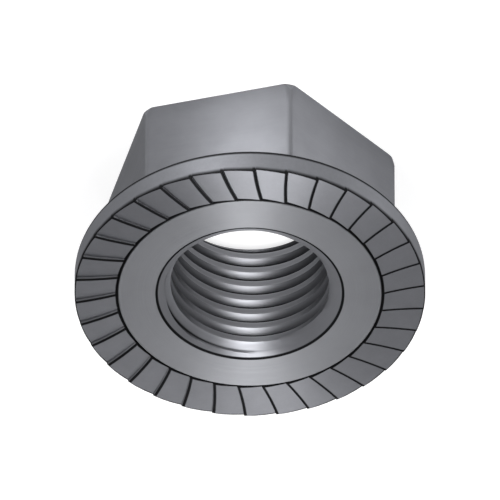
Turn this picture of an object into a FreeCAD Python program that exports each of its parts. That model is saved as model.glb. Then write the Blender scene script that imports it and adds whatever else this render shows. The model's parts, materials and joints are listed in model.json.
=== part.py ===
import FreeCAD, Part

import math
import os

# Serrated hexagon flange nut for a 3/8 in fine thread.
#
# The nut is one piece of cold-formed steel, so it is one solid in one node. From the hexagon end to
# the bearing face it has a hexagon with rounded end corners, a fillet, a conical flange with a
# cylindrical edge, and the bearing face. The bearing face is a plain inner ring around the
# countersink, a narrow relief groove, and an outer ring of ratchet serrations. Each serration has a
# steep face and a long ramp, and its crest is an arc that leans off the radius. The steep faces look
# the way that the nut turns as it is loosened, so a nut with a right-hand thread slides on its ramps
# while it is tightened. The hole is plain, at the minor diameter of the thread, with a countersink
# at each end.
#
# Millimetres, +Z along the thread. The nut stands on its hexagon end: the origin is the centre of
# that end face, and the bearing face is up. Two flats of the hexagon face +Y and -Y.

# Hexagon
across_flats = 14.12
nut_height = 8.45
hexagon_edge_radius = 0.22
end_corner_height = 0.50
end_corner_angle = 12.0
end_corner_radius = 0.10

# Flange
flange_diameter = 19.05
flange_edge_height = 1.53
flange_slope = 20.0
flange_back_radius = 0.25
flange_front_chamfer = 0.08
hexagon_fillet_radius = 0.40

# Hole: the thread's minor diameter, and a countersink in each face
thread_minor_diameter = 8.63
seat_countersink_diameter = 10.15
seat_countersink_angle = 108.0
end_countersink_diameter = 10.20
end_countersink_angle = 90.0

# Bearing face
plain_ring_drop = 0.03
relief_groove_diameter = 14.46
relief_groove_width = 0.12
relief_groove_depth = 0.18

# Serrations: the lean and the clocking are measured where the crest crosses the middle of the ring
serration_count = 34
serration_lean = 12.7
serration_clocking = 9.27
serration_arc_radius = 17.0
serration_ramp_angle = 5.0
serration_steep_angle = 15.0
serration_land = 0.10

# How far a cutting tool reaches past the surface that it cuts
tool_reach = 1.0

UP = FreeCAD.Vector(0, 0, 1)
ORIGIN = FreeCAD.Vector(0, 0, 0)


def tangent(degrees):
    """The tangent of an angle in degrees."""
    return math.tan(math.radians(degrees))


def polar(radius, degrees):
    """The point in the plane of the hexagon end at this radius and angle."""
    angle = math.radians(degrees)
    return FreeCAD.Vector(radius * math.cos(angle), radius * math.sin(angle), 0)


def rounded_outline(corners, radii):
    """A closed wire through the corners, each rounded with its own radius; 0 keeps a sharp corner."""
    starts = []
    middles = []
    ends = []
    for index, corner in enumerate(corners):
        radius = radii[index]
        to_previous = (corners[index - 1] - corner).normalize()
        to_next = (corners[(index + 1) % len(corners)] - corner).normalize()
        half_angle = to_previous.getAngle(to_next) / 2
        inward = (to_previous + to_next).normalize()
        starts.append(corner + to_previous * (radius / math.tan(half_angle)))
        middles.append(corner + inward * (radius / math.sin(half_angle) - radius))
        ends.append(corner + to_next * (radius / math.tan(half_angle)))
    edges = []
    for index in range(len(corners)):
        if radii[index] > 0:
            edges.append(Part.Arc(starts[index], middles[index], ends[index]).toShape())
        edges.append(Part.makeLine(ends[index], starts[(index + 1) % len(corners)]))
    return Part.Wire(edges)


def turned(section, radii=None):
    """A solid of revolution about +Z, from (radius, height) corners and their rounding radii."""
    corners = [FreeCAD.Vector(radius, 0, height) for radius, height in section]
    wire = rounded_outline(corners, radii or [0] * len(corners))
    return Part.Face(wire).revolve(ORIGIN, UP, 360)


# Hexagon and flange


def hexagon_edge_reach():
    """The distance from the axis to the rounded edges of the hexagon."""
    sharp = across_flats / 2 / math.cos(math.pi / 6)
    return sharp - hexagon_edge_radius * (1 / math.cos(math.pi / 6) - 1)


def flange_back_height(radius):
    """The height of the flange's conical back at this radius."""
    edge_foot = nut_height - flange_edge_height
    return edge_foot - (flange_diameter / 2 - radius) * tangent(flange_slope)


def end_corner_blank():
    """The turned blank whose cone and round edge take off the hexagon's end corners."""
    foot = hexagon_edge_reach() - end_corner_height * tangent(end_corner_angle)
    section = [
        (0, 0),
        (foot, 0),
        (foot + nut_height * tangent(end_corner_angle), nut_height),
        (0, nut_height),
    ]
    return turned(section, [0, end_corner_radius, 0, 0])


def hexagon():
    """The hexagon, from its end face up to the middle of the flange's edge."""
    sharp = across_flats / 2 / math.cos(math.pi / 6)
    corners = [polar(sharp, 60 * index) for index in range(6)]
    outline = rounded_outline(corners, [hexagon_edge_radius] * 6)
    prism = Part.Face(outline).extrude(UP * (nut_height - flange_edge_height / 2))
    return prism.common(end_corner_blank())


def flange():
    """The flange with its conical back and its cylindrical edge, up to the crests of the serrations."""
    edge = flange_diameter / 2
    inner = thread_minor_diameter / 2
    section = [
        (0, flange_back_height(inner)),
        (inner, flange_back_height(inner)),
        (edge, nut_height - flange_edge_height),
        (edge, nut_height - flange_front_chamfer),
        (edge - flange_front_chamfer, nut_height),
        (0, nut_height),
    ]
    return turned(section, [0, 0, flange_back_radius, 0, 0, 0])


def blank_with_fillet():
    """Hexagon and flange in one, with the fillet where the hexagon's sides run into the flange."""
    blank = hexagon().fuse(flange()).removeSplitter()
    foot_edges = []
    for edge in blank.Edges:
        middle = edge.valueAt((edge.FirstParameter + edge.LastParameter) / 2)
        radius = math.hypot(middle.x, middle.y)
        on_back = abs(middle.z - flange_back_height(radius)) < 0.001
        on_hexagon = across_flats / 2 - 0.001 < radius < hexagon_edge_reach() + 0.001
        if on_back and on_hexagon:
            foot_edges.append(edge)
    return blank.makeFillet(hexagon_fillet_radius, foot_edges)


# Hole and plain ring


def seat_countersink_depth():
    """How deep the countersink reaches below the plain ring."""
    step = (seat_countersink_diameter - thread_minor_diameter) / 2
    return step / tangent(seat_countersink_angle / 2)


def end_countersink_depth():
    """How deep the countersink reaches above the hexagon end."""
    step = (end_countersink_diameter - thread_minor_diameter) / 2
    return step / tangent(end_countersink_angle / 2)


def hole_tool():
    """The tool for the hole, both countersinks and the small drop of the plain ring."""
    hole = thread_minor_diameter / 2
    seat = seat_countersink_diameter / 2
    end_mouth = end_countersink_diameter / 2 + tool_reach * tangent(end_countersink_angle / 2)
    ring_height = nut_height - plain_ring_drop
    section = [
        (0, -tool_reach),
        (end_mouth, -tool_reach),
        (hole, end_countersink_depth()),
        (hole, ring_height - seat_countersink_depth()),
        (seat, ring_height),
        (relief_groove_diameter / 2, ring_height),
        (relief_groove_diameter / 2, nut_height + tool_reach),
        (0, nut_height + tool_reach),
    ]
    return turned(section)


def relief_groove_tool():
    """The narrow groove, a V with a cut-off tip, between the plain ring and the serrations."""
    middle = relief_groove_diameter / 2
    half = relief_groove_width / 2
    bottom = nut_height - relief_groove_depth
    section = [
        (middle - half / 2, bottom),
        (middle + half / 2, bottom),
        (middle + half, nut_height),
        (middle + half, nut_height + tool_reach),
        (middle - half, nut_height + tool_reach),
        (middle - half, nut_height),
    ]
    return turned(section)


# Serrations


def crest_arc_centre(index):
    """The centre of the arc that the crest of a serration follows, seen from above."""
    middle_radius = (relief_groove_diameter + flange_diameter) / 4
    direction = serration_clocking + 360 * index / serration_count
    to_centre = polar(serration_arc_radius, direction + serration_lean - 90)
    return polar(middle_radius, direction) + to_centre


def steep_side(index):
    """The space in front of a serration's steep face, as a disc with a conical edge."""
    below = nut_height - tool_reach
    above = nut_height + tool_reach
    section = [
        (0, below),
        (serration_arc_radius - tool_reach * tangent(serration_steep_angle), below),
        (serration_arc_radius + tool_reach * tangent(serration_steep_angle), above),
        (0, above),
    ]
    return turned(section).translated(crest_arc_centre(index))


def ramp_side(index):
    """The body of a serration behind its crest, as a disc whose top falls away as a shallow cone."""
    land_edge = serration_arc_radius + serration_land
    run = tool_reach / tangent(serration_ramp_angle)
    section = [
        (0, nut_height - 2 * tool_reach),
        (land_edge + run, nut_height - 2 * tool_reach),
        (land_edge + run, nut_height - tool_reach),
        (land_edge, nut_height),
        (land_edge, nut_height + 2 * tool_reach),
        (0, nut_height + 2 * tool_reach),
    ]
    return turned(section).translated(crest_arc_centre(index))


def serration_ring():
    """The ring that the serrations take up, from the middle of the relief groove outwards."""
    inside = relief_groove_diameter / 2
    outside = flange_diameter / 2 + tool_reach
    section = [
        (inside, nut_height - 2 * tool_reach),
        (outside, nut_height - 2 * tool_reach),
        (outside, nut_height + 2 * tool_reach),
        (inside, nut_height + 2 * tool_reach),
    ]
    return turned(section)


def sector(index):
    """A block around the gullet that follows a serration, wide enough for one gullet only."""
    pitch = 360 / serration_count
    length = flange_diameter / 2 + 2 * tool_reach
    block = Part.makeBox(length, length, 4 * tool_reach)
    block.translate(FreeCAD.Vector(0, -length / 2, nut_height - 2 * tool_reach))
    block.rotate(ORIGIN, UP, serration_clocking + pitch * (index + 0.5))
    return block


def serration_gullet():
    """The tool for one gullet, from the ramp of one serration to the steep face of the next."""
    gullet = serration_ring().common(sector(0)).common(steep_side(1))
    return gullet.cut(ramp_side(0))


def serration_gullets():
    """The tools for all gullets, evenly spaced around the axis."""
    first = serration_gullet()
    tools = []
    for index in range(serration_count):
        tool = first.copy()
        tool.rotate(ORIGIN, UP, 360 * index / serration_count)
        tools.append(tool)
    return tools


def flange_nut():
    """The whole nut."""
    nut = blank_with_fillet().cut(hole_tool())
    nut = nut.cut(serration_gullets())
    return nut.cut(relief_groove_tool())


def main():
    os.makedirs("parts", exist_ok=True)
    nut = flange_nut()
    print("solids", len(nut.Solids), "valid", nut.isValid(), "faces", len(nut.Faces))
    print("volume", round(nut.Volume, 2), "height", round(nut.BoundBox.ZLength, 3))
    nut.Solids[0].exportStep("parts/flange_nut.step")


main()
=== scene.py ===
# A serrated hexagon flange nut in plain steel, with its thread, and the studio that it is shown in.
#
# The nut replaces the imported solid, on the same sizes, and adds what is too fine for it: the
# helical thread, broken edges and the finish of each surface. It is one closed mesh. Every
# column of the mesh is one section through the nut, from the hexagon end up through the hole,
# out over the bearing face and down over the flange and the hexagon. Over the serrations the
# columns lean and curve with the crests.

import json
import math

import bmesh
import bpy
from bpy.props import FloatProperty, FloatVectorProperty, IntProperty, PointerProperty
from mathutils import Matrix, Vector


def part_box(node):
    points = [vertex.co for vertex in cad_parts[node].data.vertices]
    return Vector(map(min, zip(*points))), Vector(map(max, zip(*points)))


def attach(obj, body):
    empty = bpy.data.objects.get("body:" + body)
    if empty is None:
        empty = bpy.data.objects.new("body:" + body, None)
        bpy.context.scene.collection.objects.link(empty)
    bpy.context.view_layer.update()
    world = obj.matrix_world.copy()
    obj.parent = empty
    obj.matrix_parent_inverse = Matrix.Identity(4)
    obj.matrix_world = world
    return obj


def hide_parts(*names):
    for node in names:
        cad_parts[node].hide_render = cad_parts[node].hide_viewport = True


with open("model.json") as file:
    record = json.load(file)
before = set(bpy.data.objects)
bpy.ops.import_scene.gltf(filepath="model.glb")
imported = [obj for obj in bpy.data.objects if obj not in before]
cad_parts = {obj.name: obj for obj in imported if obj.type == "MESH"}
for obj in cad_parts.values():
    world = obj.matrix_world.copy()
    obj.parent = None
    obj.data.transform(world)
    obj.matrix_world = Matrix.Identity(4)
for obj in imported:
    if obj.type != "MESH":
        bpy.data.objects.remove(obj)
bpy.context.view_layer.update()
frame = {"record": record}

bl_info = {
    "name": "Serrated flange nut",
    "version": (1, 0, 0),
    "blender": (4, 5, 0),
    "location": "3D View > Sidebar > Flange nut",
    "description": "Makes a serrated hexagon flange nut in satin steel, and its floor, lamps and camera",
    "category": "Add Mesh",
}

MM = 0.001
NUT_NODE = "flange_nut"


def linear(hex_colour):
    """The linear colour of an sRGB hex value such as #808080."""
    channels = []
    for start in (1, 3, 5):
        value = int(hex_colour[start : start + 2], 16) / 255
        if value <= 0.04045:
            channels.append(value / 12.92)
        else:
            channels.append(((value + 0.055) / 1.055) ** 2.4)
    return tuple(channels)


def mount(name):
    """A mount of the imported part, by name."""
    for entry in frame["record"]["mounts"]:
        if entry["name"] == name:
            return entry
    raise KeyError(name)


# Sizes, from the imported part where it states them

NUT_LOW, NUT_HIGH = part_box(NUT_NODE)


class HexagonSizes(bpy.types.PropertyGroup):
    """The hexagon and the nut's height."""

    height: FloatProperty(
        name="Nut height",
        description="From the hexagon end to the crests of the serrations",
        default=NUT_HIGH.z - NUT_LOW.z,
        unit="LENGTH",
    )
    across_flats: FloatProperty(
        name="Across flats",
        description="The distance between opposite sides",
        default=mount("flat_back")["pos_m"][1] - mount("flat_front")["pos_m"][1],
        unit="LENGTH",
    )
    edge_radius: FloatProperty(
        name="Upright edge radius",
        description="The rounding of the hexagon's six upright edges",
        default=0.22 * MM,
        unit="LENGTH",
    )
    end_corner_height: FloatProperty(
        name="End corner height",
        description="How far the cone on the end corners reaches up the edges",
        default=0.50 * MM,
        unit="LENGTH",
    )
    end_corner_angle: FloatProperty(
        name="End corner angle",
        description="The slope of the end corners' cone, from the axis",
        default=math.radians(12),
        unit="ROTATION",
    )
    end_corner_radius: FloatProperty(
        name="End corner radius",
        description="The rounding between the corners' cone and the end face",
        default=0.10 * MM,
        unit="LENGTH",
    )
    edge_break: FloatProperty(
        name="Edge break",
        description="The rounding of edges that are sharp on the solid",
        default=0.04 * MM,
        unit="LENGTH",
    )


class FlangeSizes(bpy.types.PropertyGroup):
    """The flange and the plain part of its bearing face."""

    diameter: FloatProperty(
        name="Flange diameter",
        description="The outside diameter of the flange",
        default=min(NUT_HIGH.x - NUT_LOW.x, NUT_HIGH.y - NUT_LOW.y),
        unit="LENGTH",
    )
    edge_height: FloatProperty(
        name="Edge height",
        description="The height of the flange's upright edge",
        default=1.53 * MM,
        unit="LENGTH",
    )
    slope: FloatProperty(
        name="Slope",
        description="The slope of the flange's conical back",
        default=math.radians(20),
        unit="ROTATION",
    )
    back_radius: FloatProperty(
        name="Back radius",
        description="The rounding between the upright edge and the conical back",
        default=0.25 * MM,
        unit="LENGTH",
    )
    front_radius: FloatProperty(
        name="Front radius",
        description="The rounding of the serrations' outer ends",
        default=0.08 * MM,
        unit="LENGTH",
    )
    fillet_radius: FloatProperty(
        name="Fillet radius",
        description="The fillet between the hexagon and the flange",
        default=0.40 * MM,
        unit="LENGTH",
    )
    plain_ring_height: FloatProperty(
        name="Plain ring height",
        description="The height of the bearing face's plain inner ring",
        default=mount("seat")["pos_m"][2],
        unit="LENGTH",
    )
    groove_diameter: FloatProperty(
        name="Groove diameter",
        description="The middle of the relief groove round the plain ring",
        default=14.46 * MM,
        unit="LENGTH",
    )
    groove_width: FloatProperty(
        name="Groove width",
        description="The width of the relief groove at its top",
        default=0.12 * MM,
        unit="LENGTH",
    )
    groove_depth: FloatProperty(
        name="Groove depth",
        description="The depth of the relief groove below the crests",
        default=0.18 * MM,
        unit="LENGTH",
    )


class HoleSizes(bpy.types.PropertyGroup):
    """The thread and its two countersinks."""

    minor_diameter: FloatProperty(
        name="Minor diameter",
        description="The diameter over the thread's crests",
        default=2 * mount("thread")["dims"]["r_mm"] * MM,
        unit="LENGTH",
    )
    major_diameter: FloatProperty(
        name="Major diameter",
        description="The diameter at the thread's roots",
        default=9.525 * MM,
        unit="LENGTH",
    )
    pitch: FloatProperty(
        name="Pitch",
        description="How far the thread rises in one turn",
        default=25.4 * MM / 24,
        unit="LENGTH",
    )
    clocking: FloatProperty(
        name="Clocking",
        description="Where a crest's middle passes the plane of the hexagon end",
        default=math.radians(-1.2),
        unit="ROTATION",
    )
    seat_mouth: FloatProperty(
        name="Seat countersink",
        description="Its diameter in the bearing face",
        default=10.15 * MM,
        unit="LENGTH",
    )
    seat_angle: FloatProperty(
        name="Seat countersink angle",
        description="Its included angle",
        default=math.radians(108),
        unit="ROTATION",
    )
    end_mouth: FloatProperty(
        name="End countersink",
        description="Its diameter in the hexagon end",
        default=10.20 * MM,
        unit="LENGTH",
    )
    end_angle: FloatProperty(
        name="End countersink angle",
        description="Its included angle",
        default=math.radians(90),
        unit="ROTATION",
    )


class SerrationSizes(bpy.types.PropertyGroup):
    """The ratchet serrations. Lean and clocking are measured at the middle of their ring."""

    count: IntProperty(
        name="Count",
        description="The number of serrations",
        default=34,
        min=3,
    )
    lean: FloatProperty(
        name="Lean",
        description="The angle between a crest and the radius",
        default=math.radians(12.7),
        unit="ROTATION",
    )
    clocking: FloatProperty(
        name="Clocking",
        description="The direction of the first crest",
        default=math.radians(9.27),
        unit="ROTATION",
    )
    arc_radius: FloatProperty(
        name="Arc radius",
        description="The radius of a crest's arc, seen from above",
        default=17.0 * MM,
        unit="LENGTH",
    )
    ramp_angle: FloatProperty(
        name="Ramp angle",
        description="The slope of the long side",
        default=math.radians(5.0),
        unit="ROTATION",
    )
    steep_angle: FloatProperty(
        name="Steep angle",
        description="How far the steep side leans off the upright",
        default=math.radians(15),
        unit="ROTATION",
    )
    land: FloatProperty(
        name="Land",
        description="The width of the flat crest",
        default=0.10 * MM,
        unit="LENGTH",
    )
    edge_radius: FloatProperty(
        name="Crest edge radius",
        description="The rounding of the crest's front edge",
        default=0.035 * MM,
        unit="LENGTH",
    )
    # The dark mark in a root is oil in the root and painted shade.
    root_width: FloatProperty(
        name="Root width",
        description="How far the film in a root reaches up the ramp",
        default=0.04 * MM,
        unit="LENGTH",
    )
    # This last trace of the root's darkening is painted shade and too faint to show.
    stain_width: FloatProperty(
        name="Stain width",
        description="How far a last trace of that film reaches, too thin to show",
        default=0.20 * MM,
        unit="LENGTH",
    )
    # The dark film on the crest is painted shade: a dark line along the crest's edge and land.
    film_width: FloatProperty(
        name="Film width",
        description="How far the film on the crest reaches down its ramp",
        default=0.08 * MM,
        unit="LENGTH",
    )


class SteelColours(bpy.types.PropertyGroup):
    """The colours of the steel."""

    formed: FloatVectorProperty(
        name="Formed steel",
        description="The hexagon and the flange as they leave the forming dies",
        subtype="COLOR",
        default=linear("#707175"),
    )
    coined: FloatVectorProperty(
        name="Coined steel",
        description="The serrations and the relief groove",
        subtype="COLOR",
        default=linear("#7f8084"),
    )
    turned: FloatVectorProperty(
        name="Turned steel",
        description="The plain ring of the bearing face",
        subtype="COLOR",
        default=linear("#727376"),
    )
    tapped: FloatVectorProperty(
        name="Tapped steel",
        description="The hole, with its thread and countersinks",
        subtype="COLOR",
        default=linear("#7e7f83"),
    )
    worn: FloatVectorProperty(
        name="Rubbed edge",
        description="Edges that rub bright in the barrel",
        subtype="COLOR",
        default=linear("#98999d"),
    )
    # Oil and scale in the roots and grooves, and painted shade: the same dark colour stands for shadow
    # and dark edge lines on crests, edges, the flange's back and the thread.
    residue: FloatVectorProperty(
        name="Residue",
        description="The oil and scale in roots and grooves and along some edges",
        subtype="COLOR",
        default=linear("#151516"),
    )


class StudioSettings(bpy.types.PropertyGroup):
    """The camera, the lamps and the floor."""

    picture_width: FloatProperty(
        name="Picture width",
        description="How wide the picture is at the nut",
        default=27.145 * MM,
        unit="LENGTH",
    )
    azimuth: FloatProperty(
        name="Azimuth",
        description="The camera's direction, from the side of -Y towards +X",
        default=math.radians(-14.1),
        unit="ROTATION",
    )
    elevation: FloatProperty(
        name="Elevation",
        description="The camera's height above the plane of the bearing face",
        default=math.radians(44.56),
        unit="ROTATION",
    )
    lens: FloatProperty(
        name="Lens",
        description="The focal length, so long that almost no perspective shows",
        default=1500,
        subtype="DISTANCE_CAMERA",
    )
    lamp_strength: FloatProperty(
        name="Lamp strength",
        description="A factor on the radiance of all lamps",
        default=1.0,
        min=0,
    )
    ceiling: FloatVectorProperty(
        name="Ceiling",
        description="The studio overhead. Its walls are white",
        subtype="COLOR",
        default=linear("#b0b0b2"),
    )


class FlangeNutSettings(bpy.types.PropertyGroup):
    """All sizes and colours of the nut and its studio."""

    hexagon: PointerProperty(type=HexagonSizes)
    flange: PointerProperty(type=FlangeSizes)
    hole: PointerProperty(type=HoleSizes)
    serrations: PointerProperty(type=SerrationSizes)
    colours: PointerProperty(type=SteelColours)
    studio: PointerProperty(type=StudioSettings)


# Geometry of the serrations


class SerrationRing:
    """Where the surface of the serrations lies. Angles count from the direction of a crest."""

    def __init__(self, sizes, flange):
        self.sizes = sizes
        self.pitch = 2 * math.pi / sizes.count
        middle_radius = (flange.groove_diameter + flange.diameter) / 4
        to_centre = sizes.lean - math.pi / 2
        centre = Vector((middle_radius, 0))
        centre += sizes.arc_radius * Vector((math.cos(to_centre), math.sin(to_centre)))
        self.centre_reach = centre.length
        self.centre_angle = math.atan2(centre.y, centre.x)

    def angle_beside(self, radius, aside):
        """The angle, at this radius, of the line that runs this far behind the crest."""
        arc = self.sizes.arc_radius + aside
        cosine = radius**2 + self.centre_reach**2 - arc**2
        cosine /= 2 * radius * self.centre_reach
        return self.centre_angle + math.acos(cosine)

    def ramp_depth(self, radius, angle):
        """How deep the ramp behind the crest lies at this radius and angle."""
        turn = math.cos(angle - self.centre_angle)
        reach = math.sqrt(
            radius**2 + self.centre_reach**2 - 2 * radius * self.centre_reach * turn
        )
        behind_land = reach - self.sizes.arc_radius - self.sizes.land
        return max(0.0, behind_land) * math.tan(self.sizes.ramp_angle)

    def root(self, radius):
        """The angle and depth where the ramp ends at the foot of the next steep face.

        The steep face leans, so the foot's place depends on its depth. A few rounds settle both.
        """
        depth = 0.0
        for _ in range(6):
            aside = -depth * math.tan(self.sizes.steep_angle)
            angle = self.pitch + self.angle_beside(radius, aside)
            depth = self.ramp_depth(radius, angle)
        return angle, depth

    def section(self, radius):
        """One serration at this radius, as (angle, depth) from its own root to the next one's."""
        root_angle, root_depth = self.root(radius)
        round_edge = self.sizes.edge_radius
        steep_lean = math.tan(self.sizes.steep_angle)
        # Where the dark marks of a serration start and end: oil and painted shade in the root, painted
        # shade on the crest.
        root_start = root_angle - self.sizes.root_width / radius
        root_fade_start = root_angle - self.sizes.stain_width / radius
        crest_shade_end = self.angle_beside(radius, self.sizes.land + self.sizes.film_width)
        return [
            (root_angle - self.pitch, root_depth),
            (self.angle_beside(radius, -round_edge * steep_lean), round_edge),
            (self.angle_beside(radius, 0.3 * round_edge), 0.3 * round_edge),
            (self.angle_beside(radius, round_edge), 0.0),
            (self.angle_beside(radius, self.sizes.land), 0.0),
            (crest_shade_end, self.ramp_depth(radius, crest_shade_end)),
            (root_fade_start, self.ramp_depth(radius, root_fade_start)),
            (root_start, self.ramp_depth(radius, root_start)),
            (root_angle, root_depth),
        ]


class Column:
    """One section through the nut: the serration it crosses and its place along that serration."""

    def __init__(self, tooth, step, share):
        self.tooth = tooth
        self.step = step
        self.share = share

    def place(self, ring, section):
        """The column's angle and depth, given the serration's section at some radius."""
        start = section[self.step]
        end = section[self.step + 1]
        angle = start[0] + (end[0] - start[0]) * self.share
        depth = start[1] + (end[1] - start[1]) * self.share
        return angle + ring.sizes.clocking + self.tooth * ring.pitch, depth


# Geometry of the hexagon and the flange's back


class HexagonShape:
    """The hexagon's outline and the cone that takes off its end corners."""

    def __init__(self, sizes):
        self.flat = sizes.across_flats / 2
        self.rounding = sizes.edge_radius
        self.centre = (self.flat - self.rounding) / math.cos(math.pi / 6)
        self.blend = math.atan2(
            self.rounding * math.sin(math.pi / 6),
            self.centre + self.rounding * math.cos(math.pi / 6),
        )
        self.cone_angle = sizes.end_corner_angle
        self.cone_foot = self.reach(0) - sizes.end_corner_height * math.tan(self.cone_angle)
        self.end_round = sizes.end_corner_radius
        self.round_start = self.cone_foot - self.end_round / math.tan(
            math.pi / 4 + self.cone_angle / 2
        )

    def beside_edge(self, angle):
        """The angle between this direction and the nearest upright edge."""
        sixth = math.pi / 3
        return abs((angle + sixth / 2) % sixth - sixth / 2)

    def reach(self, angle):
        """The distance from the axis to the hexagon's side in this direction."""
        beside = self.beside_edge(angle)
        if beside > self.blend:
            return self.flat / math.cos(math.pi / 6 - beside)
        across = self.centre * math.sin(beside)
        return self.centre * math.cos(beside) + math.sqrt(self.rounding**2 - across**2)

    def end_height(self, radius):
        """The height of the end face, its round edge or the corner cone at this radius."""
        past = radius - self.round_start
        if past <= 0:
            return 0.0
        if past < self.end_round * math.cos(self.cone_angle):
            return self.end_round - math.sqrt(self.end_round**2 - past**2)
        return (radius - self.cone_foot) / math.tan(self.cone_angle)

    def edge_directions(self):
        """The directions in which the outline's rounded edges need a column.

        Shares of 1 are the ends of the rounding. The outermost ones stand on the flats beside it.
        """
        directions = []
        for corner in range(6):
            for share in (-2.2, -1, -0.5, 0, 0.5, 1, 2.2):
                directions.append(corner * math.pi / 3 + share * self.blend)
        return directions


# Surface zones, each with a material of its own, and the marks that the materials read: rubbing, and
# residue with painted shade

FORMED, TRIMMED, COINED, TURNED, TAPPED = range(5)


class Point:
    """A point of a column: its place, its zone, how much residue and painted shade it has, and its
    rubbing.
    """

    def __init__(self, radius, height, angle, zone, residue=0.0, rubbed=0.0):
        self.position = (radius * math.cos(angle), radius * math.sin(angle), height)
        self.zone = zone
        self.residue = residue
        self.rubbed = rubbed


def steps(start, end, count):
    """Evenly spaced values, from one step past the start up to the end itself."""
    return [start + (end - start) * step / count for step in range(1, count + 1)]


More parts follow.
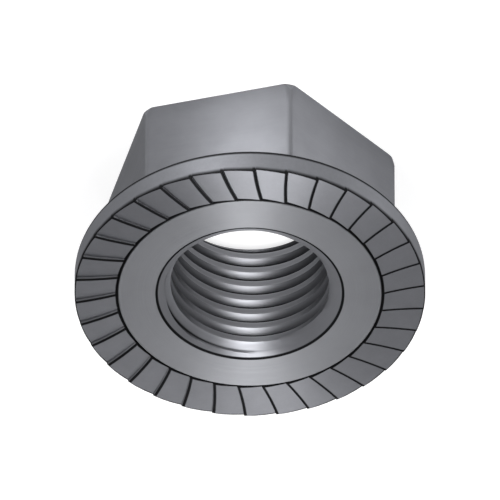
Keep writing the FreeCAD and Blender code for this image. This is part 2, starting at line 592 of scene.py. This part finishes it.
class NutProfile:
    """Makes the points of each column, in rows that run from the hexagon end's hole edge around."""

    # How finely the surface is divided: the widest step between columns, where the rows lie on the
    # thread's crests and flanks, and how many rows each of the other surfaces has
    column_step = math.radians(1.5)
    crest_shares = (0, 1 / 3, 2 / 3, 1)
    flank_shares = (0.35, 0.72, 0.84)
    ring_rows = 5
    ramp_rows = 8
    back_rows = 4
    rounding_rows = 6
    side_rows = 5
    cone_rows = 6
    end_rows = 4

    # How much residue and painted shade each place holds, from 0 for none to 1. Oil and scale lie in
    # the roots and grooves; the rest is painted shade: dark lines on the crests, the hole's mouth and
    # the ends of the serrations, and darkening on the flange's back edge, the fillet and the flanks.
    # A serration has a value for each point of its section, from root to root: little on the steep
    # face and much on the crest, where the dark is painted shade.
    mouth_film = 0.65
    groove_edge_film = 0.5
    serration_film = (0.27, 0.27, 0.85, 0.9, 0.85, 0.0, 0.0, 0.05, 0.27)
    inner_end_film = 0.7
    outer_end_film = 0.6
    back_edge_film = 0.55
    fillet_film = 0.25
    upward_flank_film = (0.0, 0.0, 0.36)
    downward_flank_film = 0.5

    # How bright the hexagon's edges are rubbed, from 0 for not at all to 1
    upright_edge_rub = 0.5
    end_edge_rub = 0.8
    corner_cone_rub = 0.6

    def __init__(self, settings):
        self.hexagon = settings.hexagon
        self.flange = settings.flange
        self.hole = settings.hole
        self.outline = HexagonShape(settings.hexagon)
        self.ring = SerrationRing(settings.serrations, settings.flange)
        self.rim = settings.flange.diameter / 2
        self.groove = settings.flange.groove_diameter / 2
        self.top = settings.hexagon.height
        self.thread_depth = (settings.hole.major_diameter - settings.hole.minor_diameter) / 2
        self.thread_rows = self.thread_section()
        # The turns of the thread that any column can cross between its two ends
        self.turns = range(-2, math.ceil(self.top / self.hole.pitch) + 1)
        self.section_cache = {}

    # Columns

    def section(self, radius):
        """The serration's section at this radius, held still past both ends of the serrations."""
        groove_edge = self.groove + self.flange.groove_width / 2
        radius = min(max(radius, groove_edge), self.rim)
        if radius not in self.section_cache:
            self.section_cache[radius] = self.ring.section(radius)
        return self.section_cache[radius]

    def column_at(self, angle):
        """The column that meets the rim in this direction."""
        slack = 1e-9
        section = self.section(self.rim)
        around = angle - self.ring.sizes.clocking - section[0][0]
        tooth = math.floor(around / self.ring.pitch + slack)
        inside = around - tooth * self.ring.pitch + section[0][0]
        step = 0
        while step < len(section) - 2 and inside >= section[step + 1][0] - slack:
            step += 1
        width = section[step + 1][0] - section[step][0]
        share = min(max((inside - section[step][0]) / width, 0.0), 1.0)
        return Column(tooth, step, share)

    def columns(self):
        """All columns in order: on every feature of serrations and hexagon, and filled between."""
        full = 2 * math.pi
        closest = math.radians(0.02)
        section = self.section(self.rim)
        start = section[0][0] + self.ring.sizes.clocking
        marks = []
        for tooth in range(self.ring.sizes.count):
            for angle, _ in section[:-1]:
                marks.append(start + (angle - section[0][0]) + tooth * self.ring.pitch)
        for direction in self.outline.edge_directions():
            direction = start + (direction - start) % full
            if min(abs(direction - mark) for mark in marks) > closest:
                marks.append(direction)
        marks.sort()
        marks.append(start + full)
        angles = []
        for low, high in zip(marks, marks[1:]):
            pieces = math.ceil((high - low) / self.column_step)
            for piece in range(pieces):
                angles.append(low + (high - low) * piece / pieces)
        return [self.column_at(angle) for angle in angles]

    # Hole

    def thread_section(self):
        """One pitch of the thread as (share of pitch, depth share, residue and painted shade, rubbed).
        """
        flank_angle = math.radians(30)
        flank = self.thread_depth * math.tan(flank_angle) / self.hole.pitch
        root = 1 / 8
        crest = 1 - root - 2 * flank
        rows = []
        for share in self.crest_shares:
            rubbed = 1.0 if share in (0, 1) else 0.0
            rows.append(((share - 0.5) * crest, 0.0, 0.0, rubbed))
        # The roots hold oil and painted shade; the darkening on the flanks near the roots is painted
        # shade.
        for share, residue in zip(self.flank_shares, self.upward_flank_film):
            rows.append((crest / 2 + flank * share, share, residue, 0.0))
        rows.append((crest / 2 + flank, 1.0, 1.0, 0.0))
        rows.append((crest / 2 + flank + root, 1.0, 1.0, 0.0))
        for share in self.flank_shares:
            height = crest / 2 + flank + root + flank * share
            rows.append((height, 1 - share, self.downward_flank_film, 0.0))
        return rows

    def hole_points(self, column):
        """Up the hole: the thread's rows rise with the column's direction, between two cones.

        Where a cone cuts the thread, the residue and painted shade thin out with what is left of the
        groove.
        """
        angle, _ = column.place(self.ring, self.section(0))
        turn = (angle - self.hole.clocking) / (2 * math.pi)
        ease = self.hexagon.edge_break
        low = ease
        high = self.flange.plain_ring_height - 2 * ease
        seat_slope = math.tan(self.hole.seat_angle / 2)
        end_slope = math.tan(self.hole.end_angle / 2)
        points = []
        for whole in self.turns:
            for share, depth, residue, rubbed in self.thread_rows:
                height = (turn + whole + share) * self.hole.pitch
                height = min(max(height, low), high)
                below_seat = self.flange.plain_ring_height - height
                seat_radius = self.hole.seat_mouth / 2 - below_seat * seat_slope
                end_radius = self.hole.end_mouth / 2 - height * end_slope
                cone_radius = max(seat_radius, end_radius)
                radius = self.hole.minor_diameter / 2 + self.thread_depth * depth
                if radius >= cone_radius:
                    left = min(1.0, (radius - cone_radius) / self.thread_depth)
                    points.append(Point(radius, height, angle, TAPPED, residue * left, rubbed))
                else:
                    points.append(Point(cone_radius, height, angle, TAPPED))
        return points

    # Bearing face

    def ring_points(self, column):
        """Over the countersink's mouth, out over the plain ring and down into the relief groove."""
        angle, _ = column.place(self.ring, self.section(0))
        height = self.flange.plain_ring_height
        ease = self.hexagon.edge_break
        below_mouth = self.hole.seat_mouth / 2 - ease * math.tan(self.hole.seat_angle / 2)
        inner = self.hole.seat_mouth / 2 + ease
        outer = self.groove - self.flange.groove_width / 2
        bottom = self.top - self.flange.groove_depth
        half_floor = self.flange.groove_width / 4
        # The edge of the hole's mouth is darkened with a line of painted shade.
        points = [Point(below_mouth, height - ease, angle, TAPPED, self.mouth_film)]
        points.append(Point(inner, height, angle, TURNED, self.mouth_film))
        start = inner + ease
        for radius in (start, *steps(start, outer - ease, self.ring_rows)):
            points.append(Point(radius, height, angle, TURNED))
        # The groove's edge and floor are darkened: oil in the groove, and painted shade.
        points.append(Point(outer, height - ease, angle, TURNED, self.groove_edge_film))
        for radius in (self.groove - half_floor, self.groove + half_floor):
            points.append(Point(radius, bottom, angle, COINED, 1.0))
        return points

    def serration_points(self, column):
        """Out along the serrations to the flange's rounded edge."""
        inner = self.groove + self.flange.groove_width / 2
        outer = self.rim - self.flange.front_radius
        rounding = self.flange.front_radius
        residue = self.serration_residue(column)
        angle, depth = column.place(self.ring, self.section(inner))
        # The inner end of the serrations, over the groove, carries a dark line of painted shade.
        end_residue_and_shade = max(residue, self.inner_end_film)
        points = [Point(inner, self.top - depth, angle, COINED, end_residue_and_shade)]
        start = inner + self.hexagon.edge_break
        for radius in (start, *steps(start, outer, self.ramp_rows)):
            angle, depth = column.place(self.ring, self.section(radius))
            points.append(Point(radius, self.top - depth, angle, COINED, residue))
        # The rounded outer end of the serrations carries a dark line of painted shade.
        end_residue_and_shade = max(residue, self.outer_end_film)
        for turn in (30, 60, 90):
            radius = outer + rounding * math.sin(math.radians(turn))
            drop = rounding * (1 - math.cos(math.radians(turn)))
            angle, depth = column.place(self.ring, self.section(radius))
            height = self.top - max(depth, drop)
            points.append(Point(radius, height, angle, COINED, end_residue_and_shade))
        return points

    def serration_residue(self, column):
        """How much residue and painted shade lie along a column where it crosses the serrations."""
        before = self.serration_film[column.step]
        after = self.serration_film[column.step + 1]
        return before + (after - before) * column.share

    # Flange and hexagon, from the rim down

    def back_height(self, radius):
        """The height of the flange's conical back at this radius."""
        edge_foot = self.top - self.flange.edge_height
        return edge_foot - (self.rim - radius) * math.tan(self.flange.slope)

    def rim_points(self, angle, rim_top):
        """Down the upright edge and around its lower rounding."""
        rounding = self.flange.back_radius
        slope = self.flange.slope
        centre = self.back_height(self.rim - rounding) + rounding / math.cos(slope)
        points = []
        # The lowest point of the upright edge and the rounding below it are darkened with painted shade.
        for share in (0.25, 0.6, 0.9, 1.0):
            height = rim_top + (centre - rim_top) * share
            film = self.back_edge_film if share == 1.0 else 0.0
            points.append(Point(self.rim, height, angle, TRIMMED, film))
        for turn in steps(0, slope - math.pi / 2, self.rounding_rows):
            radius = self.rim - rounding + rounding * math.cos(turn)
            height = centre + rounding * math.sin(turn)
            points.append(Point(radius, height, angle, TRIMMED, self.back_edge_film))
        return points

    def back_points(self, angle, reach):
        """In along the conical back and round the fillet onto the hexagon's side."""
        fillet = self.flange.fillet_radius
        slope = self.flange.slope
        centre_radius = reach + fillet
        centre = self.back_height(centre_radius) - fillet / math.cos(slope)
        start = self.rim - self.flange.back_radius * (1 - math.sin(slope))
        end = centre_radius - fillet * math.sin(slope)
        points = []
        for radius in steps(start, end, self.back_rows):
            points.append(Point(radius, self.back_height(radius), angle, FORMED))
        # The fillet under the flange is darkened with painted shade.
        for turn in steps(math.pi / 2 + slope, math.pi, self.rounding_rows):
            radius = centre_radius + fillet * math.cos(turn)
            height = centre + fillet * math.sin(turn)
            points.append(Point(radius, height, angle, FORMED, self.fillet_film))
        return points

    def side_points(self, angle, reach, rubbed):
        """Down the hexagon's side and over its broken end edge."""
        ease = self.hexagon.edge_break
        end = self.outline.end_height(reach)
        fillet_foot = self.back_height(reach + self.flange.fillet_radius)
        fillet_foot -= self.flange.fillet_radius / math.cos(self.flange.slope)
        points = []
        for height in steps(fillet_foot, end + ease, self.side_rows):
            points.append(Point(reach, height, angle, FORMED, 0.0, rubbed))
        for turn in (30, 60, 90):
            radius = reach - ease * (1 - math.cos(math.radians(turn)))
            lift = ease * (1 - math.sin(math.radians(turn)))
            height = self.outline.end_height(radius) + lift
            edge_rub = max(rubbed, self.end_edge_rub)
            points.append(Point(radius, height, angle, FORMED, 0.0, edge_rub))
        return points

    def end_points(self, angle, reach):
        """In over the corner cone and the end face to the end's countersink."""
        ease = self.hexagon.edge_break
        outer = reach - ease
        flat_edge = min(outer, self.outline.round_start)
        mouth = self.hole.end_mouth / 2 + ease
        points = []
        cone = steps(outer, flat_edge, self.cone_rows)
        for radius, rubbed in zip(cone, steps(self.corner_cone_rub, 0.0, self.cone_rows)):
            height = self.outline.end_height(radius)
            points.append(Point(radius, height, angle, FORMED, 0.0, rubbed))
        for radius in steps(flat_edge, mouth, self.end_rows):
            points.append(Point(radius, 0.0, angle, FORMED))
        return points

    def points(self, column):
        """All points of a column, in row order."""
        angle, depth = column.place(self.ring, self.section(self.rim))
        rim_top = self.top - max(depth, self.flange.front_radius)
        reach = self.outline.reach(angle)
        beside = self.outline.beside_edge(angle)
        rubbed = self.upright_edge_rub * max(0.0, 1 - beside / self.outline.blend)
        points = self.hole_points(column)
        points += self.ring_points(column)
        points += self.serration_points(column)
        points += self.rim_points(angle, rim_top)
        points += self.back_points(angle, reach)
        points += self.side_points(angle, reach, rubbed)
        points += self.end_points(angle, reach)
        return points


# Mesh


def same_place(first, second):
    """Whether two points lie within a ten-thousandth of a millimetre."""
    return (Vector(first.position) - Vector(second.position)).length < 0.0001 * MM


def column_vertices(body, points, marks):
    """The vertices of one column. Points that coincide share one vertex."""
    residue_and_shade_layer, rubbed_layer = marks
    vertices = []
    for index, point in enumerate(points):
        if index and same_place(point, points[index - 1]):
            vertices.append(vertices[-1])
            continue
        vertex = body.verts.new(point.position)
        vertex[residue_and_shade_layer] = point.residue
        vertex[rubbed_layer] = point.rubbed
        vertices.append(vertex)
    return vertices


def bridge_columns(body, left, right, left_points, shift, hole_rows):
    """The faces between two columns. Where the ring closes, the thread's rows shift by one turn."""
    rows = len(left)
    for row in range(rows):
        after = (row + 1) % rows
        partner = row
        partner_after = after
        if shift and row < hole_rows:
            partner = min(row + shift, hole_rows - 1)
        if shift and after < hole_rows and row < hole_rows:
            partner_after = min(after + shift, hole_rows - 1)
        corners = []
        for vertex in (left[row], right[partner], right[partner_after], left[after]):
            if vertex not in corners:
                corners.append(vertex)
        if len(corners) < 3:
            continue
        face = body.faces.new(corners)
        # Between two zones a face takes the one that is named first, but the hole keeps its own.
        zones = (left_points[row].zone, left_points[after].zone)
        face.material_index = TAPPED if TAPPED in zones else min(zones)
        face.smooth = True


def nut_mesh(settings):
    """The nut as one closed mesh, with residue and painted shade, and rubbing, as attributes of its
    points.
    """
    sharp_edge = math.radians(34)
    profile = NutProfile(settings)
    columns = profile.columns()
    body = bmesh.new()
    marks = (
        body.verts.layers.float.new("residue"),
        body.verts.layers.float.new("rubbed"),
    )
    all_points = [profile.points(column) for column in columns]
    rings = [column_vertices(body, points, marks) for points in all_points]
    hole_rows = len(profile.turns) * len(profile.thread_rows)
    for index, left in enumerate(rings):
        last = index == len(rings) - 1
        shift = len(profile.thread_rows) if last else 0
        right = rings[(index + 1) % len(rings)]
        bridge_columns(body, left, right, all_points[index], shift, hole_rows)
    bmesh.ops.recalc_face_normals(body, faces=body.faces)
    mesh = bpy.data.meshes.new("serrated_flange_nut")
    body.to_mesh(mesh)
    body.free()
    mesh.set_sharp_from_angle(angle=sharp_edge)
    return mesh


# Materials


def add_node(tree, kind, sockets=None, **settings):
    """Add a node with its settings, and set or link its input sockets."""
    node = tree.nodes.new(kind)
    for name, value in settings.items():
        setattr(node, name, value)
    for name, value in (sockets or {}).items():
        if isinstance(value, bpy.types.NodeSocket):
            tree.links.new(value, node.inputs[name])
        else:
            node.inputs[name].default_value = value
    return node


def empty_material(name):
    """A material with an empty node tree."""
    material = bpy.data.materials.new(name)
    material.use_nodes = True
    material.node_tree.nodes.clear()
    return material, material.node_tree


def millimetres(tree):
    """The position on the nut in millimetres, so that patterns are scaled by real sizes."""
    place = add_node(tree, "ShaderNodeTexCoord")
    scaled = add_node(
        tree, "ShaderNodeVectorMath", {0: place.outputs["Object"], "Scale": 1 / MM}, operation="SCALE"
    )
    return scaled.outputs["Vector"]


def axis_distance(tree, position):
    """The distance from the nut's axis in millimetres."""
    flat = add_node(
        tree, "ShaderNodeVectorMath", {0: position, 1: (1, 1, 0)}, operation="MULTIPLY"
    )
    length = add_node(tree, "ShaderNodeVectorMath", {0: flat.outputs["Vector"]}, operation="LENGTH")
    return length.outputs["Value"]


def steel_colour(tree, position, colours, base, mottle_size, mottle_depth):
    """Steel with soft mottling, bright where it is rubbed, and dark where residue and painted shade lie.

    A value under 0.05 leaves no mark, and from 0.65 on the dark colour hides the steel but for a trace.
    """
    strongest_rub = 0.4
    mottle = add_node(
        tree,
        "ShaderNodeTexNoise",
        {"Vector": position, "Scale": 1 / mottle_size, "Detail": 4.0, "Roughness": 0.6},
    )
    tone = add_node(
        tree,
        "ShaderNodeMapRange",
        {0: mottle.outputs["Fac"], 1: 0.3, 2: 0.7, 3: 1 - mottle_depth, 4: 1 + mottle_depth},
    )
    toned = add_node(
        tree,
        "ShaderNodeVectorMath",
        {0: tuple(base), "Scale": tone.outputs["Result"]},
        operation="SCALE",
    )
    rubbed = add_node(tree, "ShaderNodeAttribute", attribute_name="rubbed")
    rubbed_amount = add_node(
        tree, "ShaderNodeMath", {0: rubbed.outputs["Fac"], 1: strongest_rub}, operation="MULTIPLY"
    )
    brightened = add_node(
        tree,
        "ShaderNodeMix",
        {0: rubbed_amount.outputs[0], 6: toned.outputs["Vector"], 7: (*colours.worn, 1)},
        data_type="RGBA",
    )
    # This darkening is partly oil in the roots and grooves and partly painted shade along edges, crests,
    # the flange's back, the fillet and the thread's flanks.
    residue = add_node(tree, "ShaderNodeAttribute", attribute_name="residue")
    residue_and_shade_amount = add_node(
        tree,
        "ShaderNodeMapRange",
        {0: residue.outputs["Fac"], 1: 0.05, 2: 0.65, 4: 0.96},
        interpolation_type="SMOOTHSTEP",
    )
    darkening = residue_and_shade_amount.outputs["Result"]
    darkened = add_node(
        tree,
        "ShaderNodeMix",
        {0: darkening, 6: brightened.outputs[2], 7: (*colours.residue, 1)},
        data_type="RGBA",
    )
    return darkened.outputs[2], darkening


def steel_surface(tree, colour, residue, lines, line_height, roughness, drawn_out=True):
    """The metal shader: line pattern as bump, roughness from the finish, matt where residue and painted
    shade are.

    drawn_out is for a skin with scratches round the axis. They draw a highlight out across them.
    The specular tint keeps the steel from turning white where it is seen at a glancing angle.
    """
    residue_and_shade_roughness = 0.85
    bump = add_node(tree, "ShaderNodeBump", {"Height": lines, "Distance": line_height * MM})
    low, high = roughness
    spread = add_node(tree, "ShaderNodeMapRange", {0: lines, 1: 0.2, 2: 0.8, 3: low, 4: high})
    matt = add_node(
        tree, "ShaderNodeMix", {0: residue, 2: spread.outputs["Result"], 3: residue_and_shade_roughness}
    )
    shader = add_node(
        tree,
        "ShaderNodeBsdfPrincipled",
        {
            "Base Color": colour,
            "Metallic": 1.0,
            "Specular Tint": (0.5, 0.5, 0.5, 1),
            "Roughness": matt.outputs[0],
            "Normal": bump.outputs["Normal"],
        },
    )
    if drawn_out:
        tangent = add_node(tree, "ShaderNodeTangent", direction_type="RADIAL", axis="Z")
        tree.links.new(tangent.outputs["Tangent"], shader.inputs["Tangent"])
        shader.inputs["Anisotropic"].default_value = 0.8
        shader.inputs["Anisotropic Rotation"].default_value = 0.25
    add_node(tree, "ShaderNodeOutputMaterial", {"Surface": shader.outputs["BSDF"]})


def cold_formed_steel(colours):
    """Cold-formed steel: a satin skin with faint lines across the sides, left by the rolled wire."""
    material, tree = empty_material("cold_formed_steel")
    position = millimetres(tree)
    colour, residue = steel_colour(tree, position, colours, colours.formed, 2.2, 0.06)
    # The lines are some hundredths of a millimetre apart; here 0.12 mm, so that they show.
    streak = add_node(
        tree, "ShaderNodeVectorMath", {0: position, 1: (0.5, 0.5, 8.0)}, operation="MULTIPLY"
    )
    lines = add_node(
        tree,
        "ShaderNodeTexNoise",
        {"Vector": streak.outputs["Vector"], "Scale": 1.0, "Detail": 3.0, "Roughness": 0.55},
    )
    steel_surface(tree, colour, residue, lines.outputs["Fac"], 0.004, (0.46, 0.52))
    return material


def trimmed_steel(colours):
    """The flange's edge, trimmed in a die and tumbled: an even matt skin."""
    material, tree = empty_material("trimmed_steel")
    position = millimetres(tree)
    colour, residue = steel_colour(tree, position, colours, colours.formed, 1.8, 0.05)
    grain = add_node(
        tree,
        "ShaderNodeTexNoise",
        {"Vector": position, "Scale": 1 / 0.2, "Detail": 3.0, "Roughness": 0.6},
    )
    roughness = (0.64, 0.72)
    steel_surface(tree, colour, residue, grain.outputs["Fac"], 0.003, roughness, drawn_out=False)
    return material


def coined_steel(colours):
    """Steel pressed by the serrating die: a fine even grain, and the die's own turning marks."""
    material, tree = empty_material("coined_steel")
    position = millimetres(tree)
    colour, residue = steel_colour(tree, position, colours, colours.coined, 1.4, 0.05)
    grain = add_node(
        tree,
        "ShaderNodeTexNoise",
        {"Vector": position, "Scale": 1 / 0.15, "Detail": 3.0, "Roughness": 0.6},
    )
    steel_surface(tree, colour, residue, grain.outputs["Fac"], 0.003, (0.56, 0.62))
    return material


def turned_steel(colours):
    """Faced steel: fine rings round the axis, with a bright band across them."""
    material, tree = empty_material("turned_steel")
    position = millimetres(tree)
    colour, residue = steel_colour(tree, position, colours, colours.turned, 2.6, 0.04)
    # The feed of the facing tool is about 0.08 mm a turn; here 0.11 mm, so that it shows.
    spacing = 0.11
    radius = axis_distance(tree, position)
    feed = add_node(tree, "ShaderNodeMath", {0: radius, 1: spacing}, operation="DIVIDE")
    lines = add_node(
        tree, "ShaderNodeTexNoise", {"W": feed.outputs[0], "Scale": 1.0}, noise_dimensions="1D"
    )
    steel_surface(tree, colour, residue, lines.outputs["Fac"], 0.004, (0.36, 0.42))
    return material


def tapped_steel(colours):
    """Steel cut by the tap and the countersink: smooth and bright, with fine lines round the hole."""
    material, tree = empty_material("tapped_steel")
    position = millimetres(tree)
    colour, residue = steel_colour(tree, position, colours, colours.tapped, 1.8, 0.05)
    # The tool's scratches are about 0.06 mm apart.
    stretched = add_node(
        tree, "ShaderNodeVectorMath", {0: position, 1: (0.6, 0.6, 16.0)}, operation="MULTIPLY"
    )
    lines = add_node(
        tree, "ShaderNodeTexNoise", {"Vector": stretched.outputs["Vector"], "Scale": 1.0}
    )
    steel_surface(tree, colour, residue, lines.outputs["Fac"], 0.002, (0.42, 0.50))
    return material


def paper_floor():
    """White paper: it shows white to the camera and in the metal, and keeps the nut's soft shadow.

    Seen there it takes in less of the light and adds its own, which lifts the open floor to white.
    """
    paper_tone = 0.8
    seen_tone = 0.5
    own_light = 0.76
    material, tree = empty_material("white_paper")
    path = add_node(tree, "ShaderNodeLightPath")
    seen = path.outputs["Is Camera Ray"]
    for ray in ("Is Glossy Ray", "Is Transmission Ray"):
        either = add_node(tree, "ShaderNodeMath", {0: seen, 1: path.outputs[ray]}, operation="MAXIMUM")
        seen = either.outputs[0]
    paper = add_node(tree, "ShaderNodeBsdfDiffuse", {"Color": (*[paper_tone] * 3, 1)})
    shade = add_node(tree, "ShaderNodeBsdfDiffuse", {"Color": (*[seen_tone] * 3, 1)})
    white = add_node(tree, "ShaderNodeEmission", {"Strength": own_light})
    lit = add_node(tree, "ShaderNodeAddShader", {0: shade.outputs[0], 1: white.outputs[0]})
    surface = add_node(
        tree, "ShaderNodeMixShader", {0: seen, 1: paper.outputs[0], 2: lit.outputs[0]}
    )
    add_node(tree, "ShaderNodeOutputMaterial", {"Surface": surface.outputs[0]})
    return material


# Studio


def view_frame(studio):
    """The camera's right, up and back directions before it is turned upside down."""
    sine = math.sin(studio.azimuth)
    cosine = math.cos(studio.azimuth)
    right = Vector((cosine, sine, 0))
    back = Vector((sine * math.cos(studio.elevation), -cosine * math.cos(studio.elevation), 0))
    back.z = math.sin(studio.elevation)
    return right, back.cross(right), back


def place_camera(scene, studio, height):
    """A long lens at the photograph's angle. The picture shows the nut with its bearing face down."""
    picture_pixels = 500
    face_pixel = Vector((249.9, 294.4))
    sensor = 36
    right, up, back = view_frame(studio)
    pixel = studio.picture_width / picture_pixels
    off_centre = face_pixel - Vector((picture_pixels / 2, picture_pixels / 2))
    centre = Vector((0, 0, height)) + (right * off_centre.x - up * off_centre.y) * pixel
    distance = studio.picture_width * studio.lens / sensor
    lens = bpy.data.cameras.new("camera")
    lens.lens = studio.lens
    lens.sensor_width = sensor
    lens.clip_start = 0.05
    lens.clip_end = 20
    camera = bpy.data.objects.new("camera", lens)
    turned = Matrix((-right, -up, back)).transposed().to_4x4()
    camera.matrix_world = Matrix.Translation(centre + back * distance) @ turned
    scene.collection.objects.link(camera)
    scene.camera = camera


def add_lamp(scene, studio, name, rise, side, distance, size, radiance):
    """A soft rectangular lamp that points at the nut, near the upright plane of the camera.

    rise is its angle above the floor, from 0 at the camera's side over 90 overhead to 180 behind.
    side turns it out of that plane. radiance is in the units of a colour: 1 shows as white.
    """
    azimuth = studio.azimuth + math.radians(side)
    towards = Vector((math.sin(azimuth), -math.cos(azimuth), 0)) * math.cos(math.radians(rise))
    towards.z = math.sin(math.radians(rise))
    across = Vector((math.cos(azimuth), math.sin(azimuth), 0))
    lamp = bpy.data.lights.new(name, "AREA")
    lamp.shape = "RECTANGLE"
    lamp.size, lamp.size_y = size
    lamp.energy = radiance * studio.lamp_strength * math.pi * size[0] * size[1]
    lamp_object = bpy.data.objects.new(name, lamp)
    turned = Matrix((across, towards.cross(across), towards)).transposed().to_4x4()
    middle = Vector((0, 0, 6 * MM))
    lamp_object.matrix_world = Matrix.Translation(middle + towards * distance) @ turned
    lamp_object.visible_camera = False
    scene.collection.objects.link(lamp_object)


def place_lamps(scene, studio):
    """A narrow arch of soft lamps over the nut, and two low ones for its upright sides.

    The arch gives each face a bright middle that fades to both sides.
    """
    lamps = (
        # name, rise, side, distance, size, radiance
        ("back_lamp", 135, 0, 34 * MM, (4 * MM, 18 * MM), 6.5),
        ("top_lamp", 68, 4, 38 * MM, (14 * MM, 24 * MM), 13.5),
        ("front_lamp", 2, 14, 18 * MM, (3 * MM, 12 * MM), 13.0),
        ("side_lamp", 2, -60, 24 * MM, (4 * MM, 14 * MM), 8.0),
    )
    for lamp in lamps:
        add_lamp(scene, studio, *lamp)


def place_world(scene, studio):
    """A plain round studio: as white as the floor at the horizon, and darker overhead."""
    ceiling_from = 0.6
    world = bpy.data.worlds.new("plain_studio")
    world.use_nodes = True
    tree = world.node_tree
    tree.nodes.clear()
    direction = add_node(tree, "ShaderNodeTexCoord")
    height = add_node(tree, "ShaderNodeSeparateXYZ", {0: direction.outputs["Generated"]})
    overhead = add_node(
        tree,
        "ShaderNodeMapRange",
        {0: height.outputs["Z"], 2: ceiling_from},
        interpolation_type="SMOOTHSTEP",
    )
    shade = add_node(
        tree,
        "ShaderNodeMix",
        {0: overhead.outputs["Result"], 6: (1, 1, 1, 1), 7: (*studio.ceiling, 1)},
        data_type="RGBA",
    )
    light = add_node(tree, "ShaderNodeBackground", {"Color": shade.outputs[2]})
    add_node(tree, "ShaderNodeOutputWorld", {"Surface": light.outputs[0]})
    scene.world = world


def place_floor(scene):
    """A plain white floor under the hexagon end."""
    half = 1.5
    mesh = bpy.data.meshes.new("floor")
    corners = [(-half, -half, 0), (half, -half, 0), (half, half, 0), (-half, half, 0)]
    mesh.from_pydata(corners, [], [(0, 1, 2, 3)])
    floor = bpy.data.objects.new("floor", mesh)
    floor.location.z = -0.01 * MM
    mesh.materials.append(paper_floor())
    scene.collection.objects.link(floor)


# Operators and panel


class MakeFlangeNut(bpy.types.Operator):
    """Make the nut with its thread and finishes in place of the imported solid"""

    bl_idname = "flange_nut.make_nut"
    bl_label = "Make the nut"
    bl_options = {"REGISTER", "UNDO"}

    def execute(self, context):
        settings = context.scene.flange_nut
        nut = bpy.data.objects.new("serrated_flange_nut", nut_mesh(settings))
        context.scene.collection.objects.link(nut)
        colours = settings.colours
        finishes = (cold_formed_steel, trimmed_steel, coined_steel, turned_steel, tapped_steel)
        for finish in finishes:
            nut.data.materials.append(finish(colours))
        flat_shading = nut.modifiers.new("level_flats", "WEIGHTED_NORMAL")
        flat_shading.keep_sharp = True
        flat_shading.weight = 90
        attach(nut, "root")
        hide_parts(NUT_NODE)
        return {"FINISHED"}


class MakeStudio(bpy.types.Operator):
    """Make the floor, the lamps, the surroundings and the camera"""

    bl_idname = "flange_nut.make_studio"
    bl_label = "Make the studio"
    bl_options = {"REGISTER", "UNDO"}

    def execute(self, context):
        scene = context.scene
        settings = scene.flange_nut
        place_camera(scene, settings.studio, settings.hexagon.height)
        place_lamps(scene, settings.studio)
        place_world(scene, settings.studio)
        place_floor(scene)
        scene.view_settings.view_transform = "Standard"
        return {"FINISHED"}


class FlangeNutPanel(bpy.types.Panel):
    """Sizes, colours and buttons in the sidebar"""

    bl_idname = "VIEW3D_PT_flange_nut"
    bl_label = "Flange nut"
    bl_space_type = "VIEW_3D"
    bl_region_type = "UI"
    bl_category = "Flange nut"

    def draw(self, context):
        layout = self.layout
        settings = context.scene.flange_nut
        for group_name in FlangeNutSettings.__annotations__:
            group = getattr(settings, group_name)
            box = layout.box()
            for name in group.__annotations__:
                box.prop(group, name)
        layout.operator(MakeFlangeNut.bl_idname)
        layout.operator(MakeStudio.bl_idname)


CLASSES = (
    HexagonSizes,
    FlangeSizes,
    HoleSizes,
    SerrationSizes,
    SteelColours,
    StudioSettings,
    FlangeNutSettings,
    MakeFlangeNut,
    MakeStudio,
    FlangeNutPanel,
)


def register():
    for entry in CLASSES:
        bpy.utils.register_class(entry)
    bpy.types.Scene.flange_nut = PointerProperty(type=FlangeNutSettings)


def unregister():
    del bpy.types.Scene.flange_nut
    for entry in reversed(CLASSES):
        bpy.utils.unregister_class(entry)


def main():
    """Make everything in order."""
    register()
    bpy.ops.flange_nut.make_nut()
    bpy.ops.flange_nut.make_studio()
    bpy.context.view_layer.update()


if __name__ == "__main__":
    main()
